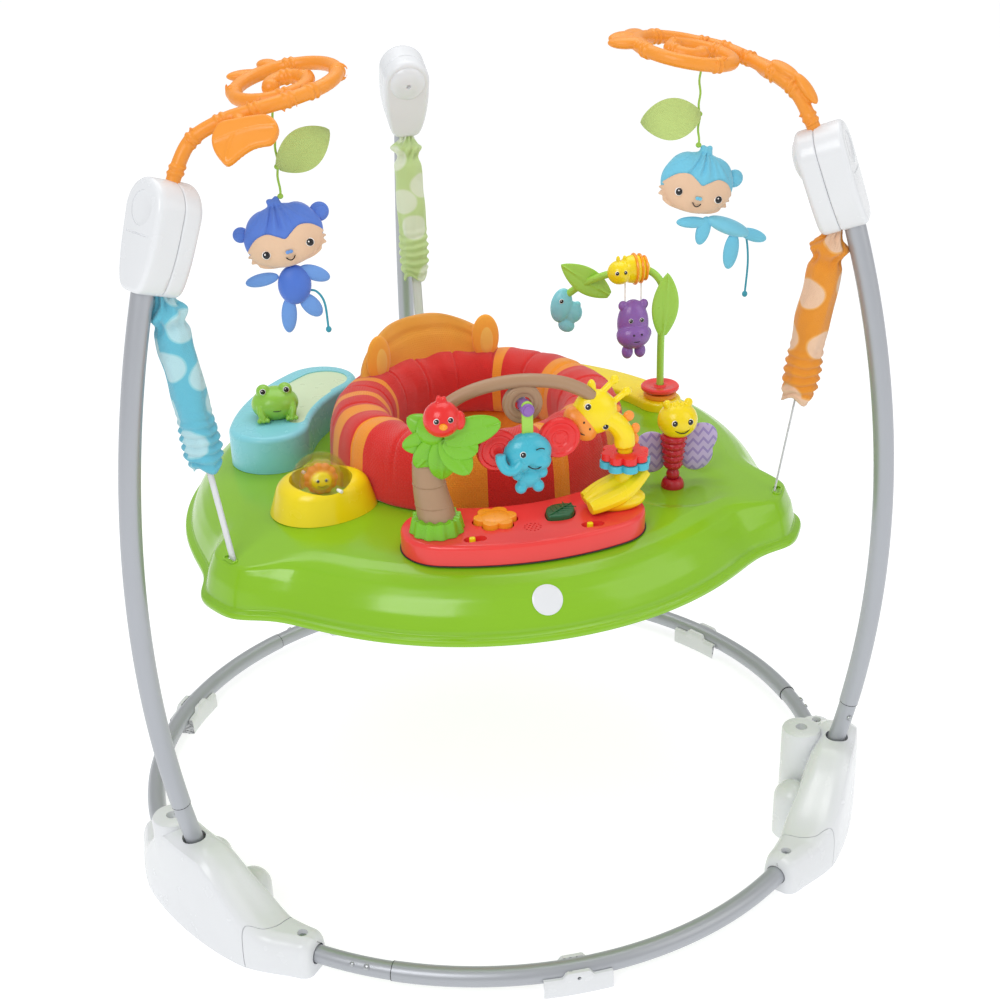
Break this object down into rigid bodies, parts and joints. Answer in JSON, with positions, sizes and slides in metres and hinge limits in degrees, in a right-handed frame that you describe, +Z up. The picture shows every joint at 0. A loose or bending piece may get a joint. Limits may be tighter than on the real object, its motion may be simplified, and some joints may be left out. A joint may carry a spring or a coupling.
{
  "type": "baby activity jumper",
  "caption": "Free-standing baby activity jumper: round tube base, bowed legs with spring housings, and a toy tray that bounces on sprung straps round a turning fabric seat",
  "frame": {"origin": "On the floor, under the middle of the whole object's bounding box; the ring's centre and the seat's axis are 20 mm in front of it", "axes": "+Z up, -Y towards the front of the tray (the music console), +X to the right as seen from the front"},
  "size_m": [0.8782, 0.9131, 0.9227],
  "materials": {
    "powder_coated_steel": "satin",
    "spring_steel": "satin",
    "white_plastic": "gloss",
    "white_webbing": "matte",
    "lime_plastic": "gloss",
    "coral_plastic": "gloss",
    "yellow_plastic": "gloss",
    "orange_plastic": "satin",
    "aqua_plastic": "gloss",
    "leaf_green_plastic": "gloss",
    "dark_green_plastic": "gloss",
    "brown_plastic": "satin",
    "sky_blue_plastic": "gloss",
    "purple_plastic": "gloss",
    "crimson_plastic": "gloss",
    "clear_plastic": "clear",
    "red_fabric": "matte",
    "orange_fabric": "matte",
    "lavender_fabric": "matte",
    "green_cloth": "matte",
    "blue_cloth": "matte",
    "sky_cloth": "matte",
    "aqua_sleeve_cloth": "matte",
    "orange_sleeve_cloth": "matte",
    "pale_green_sleeve_cloth": "matte"
  },
  "bodies": {
    "frame": {"base_tube_front": "powder_coated_steel", "floor_pad_front": "white_plastic", "base_tube_left": "powder_coated_steel", "floor_pad_left": "white_plastic", "base_tube_right": "powder_coated_steel", "floor_pad_right": "white_plastic", "leg_left": "powder_coated_steel", "foot_left": "white_plastic", "housing_outer_left": "white_plastic", "housing_inner_left": "white_plastic", "spring_left": "spring_steel", "leg_right": "powder_coated_steel", "foot_right": "white_plastic", "housing_outer_right": "white_plastic", "housing_inner_right": "white_plastic", "spring_right": "spring_steel", "leg_back": "powder_coated_steel", "foot_back": "white_plastic", "housing_outer_back": "white_plastic", "housing_inner_back": "white_plastic", "spring_back": "spring_steel", "sleeve_left": "aqua_sleeve_cloth", "sleeve_right": "orange_sleeve_cloth", "sleeve_back": "pale_green_sleeve_cloth", "vine_arm_left": "orange_plastic", "vine_arm_right": "orange_plastic"},
    "tray": {"tray": "lime_plastic", "strap_left": "white_webbing", "strap_right": "white_webbing", "strap_back": "white_webbing", "blue_station": "aqua_plastic", "bubble_base": "yellow_plastic", "console": "coral_plastic", "palm_branch": "brown_plastic", "palm_crown": "leaf_green_plastic", "giraffe": "yellow_plastic", "arch_base": "yellow_plastic", "leaf_arch": "leaf_green_plastic"},
    "seat": {"seat_ring": "white_plastic", "seat_pad": "red_fabric", "seat_sling": "orange_fabric"},
    "frog": {"frog": "leaf_green_plastic"},
    "bubble": {"bubble": "clear_plastic", "lion_figure": "orange_plastic"},
    "flower_button": {"flower_button": "orange_plastic"},
    "leaf_button": {"leaf_button": "dark_green_plastic"},
    "volume_switch": {"volume_switch": "yellow_plastic"},
    "power_switch": {"power_switch": "yellow_plastic"},
    "elephant": {"elephant": "sky_blue_plastic"},
    "giraffe_rings": {"giraffe_rings": "coral_plastic"},
    "butterfly": {"butterfly": "crimson_plastic", "butterfly_wings": "lavender_fabric"},
    "spin_discs": {"spin_discs": "coral_plastic"},
    "hippo": {"hippo": "purple_plastic"},
    "monkey_left": {"mobile_cord_left": "green_cloth", "monkey_head_left": "blue_cloth", "monkey_body_left": "blue_cloth"},
    "monkey_right": {"mobile_cord_right": "green_cloth", "monkey_head_right": "sky_cloth", "monkey_body_right": "sky_cloth"}
  },
  "joints": [
    {"name": "tray_bounce", "type": "slide", "parent": "frame", "child": "tray", "axis": [0, 0, 1], "range_m": [-0.05, 0.03], "stiffness_N_per_m": 900, "springref_m": 0.0566, "deforming": ["spring_left", "sleeve_left", "spring_right", "sleeve_right", "spring_back", "sleeve_back"]},
    {"name": "seat_spin", "type": "hinge", "parent": "tray", "child": "seat", "pos_m": [0, -0.02, 0.44], "axis": [0, 0, 1], "continuous": true},
    {"name": "frog_spin", "type": "hinge", "parent": "tray", "child": "frog", "pos_m": [-0.22445, 0.05293, 0.484], "axis": [0, 0, 1], "continuous": true},
    {"name": "bubble_roll", "type": "hinge", "parent": "tray", "child": "bubble", "pos_m": [-0.19557, -0.12399, 0.4735], "axis": [0.4695, -0.8829, 0], "continuous": true},
    {"name": "flower_press", "type": "slide", "parent": "tray", "child": "flower_button", "axis": [0, 0, -1], "range_m": [0, 0.0025], "stiffness_N_per_m": 400, "springref_m": -0.0006},
    {"name": "leaf_press", "type": "slide", "parent": "tray", "child": "leaf_button", "axis": [0, 0, -1], "range_m": [0, 0.0025], "stiffness_N_per_m": 400, "springref_m": -0.0006},
    {"name": "volume_slide", "type": "slide", "parent": "tray", "child": "volume_switch", "axis": [1, 0, 0], "range_m": [0, 0.006]},
    {"name": "power_slide", "type": "slide", "parent": "tray", "child": "power_switch", "axis": [1, 0, 0], "range_m": [0, 0.006]},
    {"name": "elephant_swing", "type": "hinge", "parent": "tray", "child": "elephant", "pos_m": [0, -0.253, 0.5925], "axis": [0, 1, 0], "range_deg": [-20, 20]},
    {"name": "giraffe_rings_spin", "type": "hinge", "parent": "tray", "child": "giraffe_rings", "pos_m": [0.108, -0.253, 0.507], "axis": [0, 0, 1], "continuous": true},
    {"name": "butterfly_sway", "type": "hinge", "parent": "tray", "child": "butterfly", "pos_m": [0.18991, -0.16837, 0.4523], "axis": [0, 1, 0], "range_deg": [-12, 12], "stiffness_Nm_per_rad": 0.2},
    {"name": "disc_spin", "type": "hinge", "parent": "tray", "child": "spin_discs", "pos_m": [0.24864, 0.05602, 0.452], "axis": [0, 0, 1], "continuous": true},
    {"name": "hippo_swing", "type": "hinge", "parent": "tray", "child": "hippo", "pos_m": [0.214, 0.06, 0.604], "axis": [1, 0, 0], "range_deg": [-18, 18]},
    {"name": "monkey_left_swing", "type": "hinge", "parent": "frame", "child": "monkey_left", "pos_m": [-0.2159, -0.14711, 0.8999], "axis": [0, 1, 0], "range_deg": [-20, 20]},
    {"name": "monkey_right_swing", "type": "hinge", "parent": "frame", "child": "monkey_right", "pos_m": [0.21803, -0.14342, 0.8999], "axis": [0, 1, 0], "range_deg": [-20, 20]}
  ]
}
